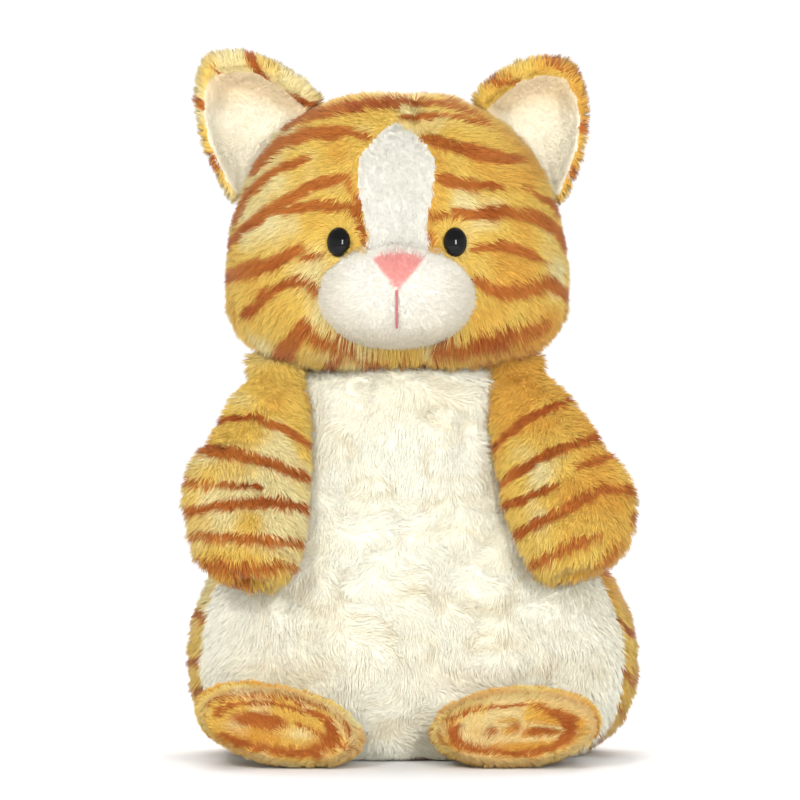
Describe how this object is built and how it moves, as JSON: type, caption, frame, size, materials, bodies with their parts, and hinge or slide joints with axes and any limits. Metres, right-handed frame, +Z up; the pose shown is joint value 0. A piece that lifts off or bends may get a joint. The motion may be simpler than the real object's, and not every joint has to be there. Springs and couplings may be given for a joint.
{
  "type": "plush cat",
  "caption": "Sitting stuffed toy cat in striped plush with a pale belly, domed muzzle, upright ears and soft flexing head, arms, feet and tail.",
  "frame": {"origin": "on the floor, in the underside of the flat base panel, under the middle of the body", "axes": "+Z up; the cat faces -Y and its own left side is +X"},
  "size_m": [0.2184, 0.2086, 0.349],
  "materials": {
    "tiger_plush": "medium-pile plush, golden with rust tabby stripes",
    "cream_plush": "long curly cream plush",
    "muzzle_plush": "short off-white pile with an airbrushed pink nose",
    "ear_lining": "short cream velour",
    "eye_plastic": "glossy black",
    "washer_plastic": "natural white",
    "mouth_thread": "dusty pink stitched thread",
    "sewing_thread": "golden tan thread",
    "fibre_fill": "loose white polyester fibre",
    "bag_cloth": "plain woven cloth, filled with pellets",
    "label_satin": "blank white satin ribbon"
  },
  "bodies": {
    "torso": {"belly_panel": "cream_plush", "left_back_panel": "tiger_plush", "right_back_panel": "tiger_plush", "base_panel": "tiger_plush", "body_stuffing": "fibre_fill", "bean_bag": "bag_cloth", "back_closing_thread": "sewing_thread", "care_label": "label_satin"},
    "neck": {"neck_seam_thread": "sewing_thread"},
    "head": {"right_face_panel": "tiger_plush", "left_face_panel": "tiger_plush", "right_head_back_panel": "tiger_plush", "left_head_back_panel": "tiger_plush", "forehead_blaze": "cream_plush", "muzzle": "muzzle_plush", "mouth_stitch": "mouth_thread", "head_stuffing": "fibre_fill", "right_eye": "eye_plastic", "left_eye": "eye_plastic", "right_eye_washer": "washer_plastic", "left_eye_washer": "washer_plastic"},
    "right_ear": {"right_ear_back": "tiger_plush", "right_ear_lining": "ear_lining"},
    "right_shoulder": {"right_shoulder_thread": "sewing_thread"},
    "right_arm": {"right_arm_front": "tiger_plush", "right_arm_back": "tiger_plush", "right_arm_stuffing": "fibre_fill"},
    "right_foot": {"right_foot_upper": "tiger_plush", "right_foot_sole": "tiger_plush", "right_foot_stuffing": "fibre_fill"},
    "left_ear": {"left_ear_back": "tiger_plush", "left_ear_lining": "ear_lining"},
    "left_shoulder": {"left_shoulder_thread": "sewing_thread"},
    "left_arm": {"left_arm_front": "tiger_plush", "left_arm_back": "tiger_plush", "left_arm_stuffing": "fibre_fill"},
    "left_foot": {"left_foot_upper": "tiger_plush", "left_foot_sole": "tiger_plush", "left_foot_stuffing": "fibre_fill"},
    "tail": {"tail_cover": "tiger_plush", "tail_stuffing": "fibre_fill"}
  },
  "joints": [
    {"name": "neck_turn", "type": "hinge", "parent": "torso", "child": "neck", "pos_m": [-0.003, -0.002, 0.1923], "axis": [0, 0, 1], "range_deg": [-25, 25], "stiffness_Nm_per_rad": 0.5},
    {"name": "neck_nod", "type": "hinge", "parent": "neck", "child": "head", "pos_m": [-0.003, -0.002, 0.1923], "axis": [1, 0, 0], "range_deg": [-12, 6], "stiffness_Nm_per_rad": 1},
    {"name": "right_ear_flex", "type": "hinge", "parent": "head", "child": "right_ear", "pos_m": [-0.0645, 0, 0.29925], "axis": [-0.6394, 0, -0.7688], "range_deg": [-15, 15], "stiffness_Nm_per_rad": 0.03},
    {"name": "left_ear_flex", "type": "hinge", "parent": "head", "child": "left_ear", "pos_m": [0.0525, 0, 0.29925], "axis": [0.6394, 0, -0.7688], "range_deg": [-15, 15], "stiffness_Nm_per_rad": 0.03},
    {"name": "right_arm_swing", "type": "hinge", "parent": "torso", "child": "right_shoulder", "pos_m": [-0.0625, -0.019, 0.191], "axis": [-1, 0, 0], "range_deg": [0, 40], "stiffness_Nm_per_rad": 0.06},
    {"name": "right_arm_lift", "type": "hinge", "parent": "right_shoulder", "child": "right_arm", "pos_m": [-0.0625, -0.019, 0.191], "axis": [0, 1, 0], "range_deg": [0, 35], "stiffness_Nm_per_rad": 0.06},
    {"name": "left_arm_swing", "type": "hinge", "parent": "torso", "child": "left_shoulder", "pos_m": [0.049, -0.019, 0.191], "axis": [-1, 0, 0], "range_deg": [0, 40], "stiffness_Nm_per_rad": 0.06},
    {"name": "left_arm_lift", "type": "hinge", "parent": "left_shoulder", "child": "left_arm", "pos_m": [0.049, -0.019, 0.191], "axis": [0, -1, 0], "range_deg": [0, 35], "stiffness_Nm_per_rad": 0.06},
    {"name": "right_foot_flex", "type": "hinge", "parent": "torso", "child": "right_foot", "pos_m": [-0.0632, -0.05, 0.03528], "axis": [-1, 0, 0], "range_deg": [0, 25], "stiffness_Nm_per_rad": 0.05},
    {"name": "left_foot_flex", "type": "hinge", "parent": "torso", "child": "left_foot", "pos_m": [0.0516, -0.05, 0.03448], "axis": [-1, 0, 0], "range_deg": [0, 25], "stiffness_Nm_per_rad": 0.05},
    {"name": "tail_swing", "type": "hinge", "parent": "torso", "child": "tail", "pos_m": [0, 0.072, 0.034], "axis": [0, 0, 1], "range_deg": [-20, 20], "stiffness_Nm_per_rad": 0.03}
  ]
}
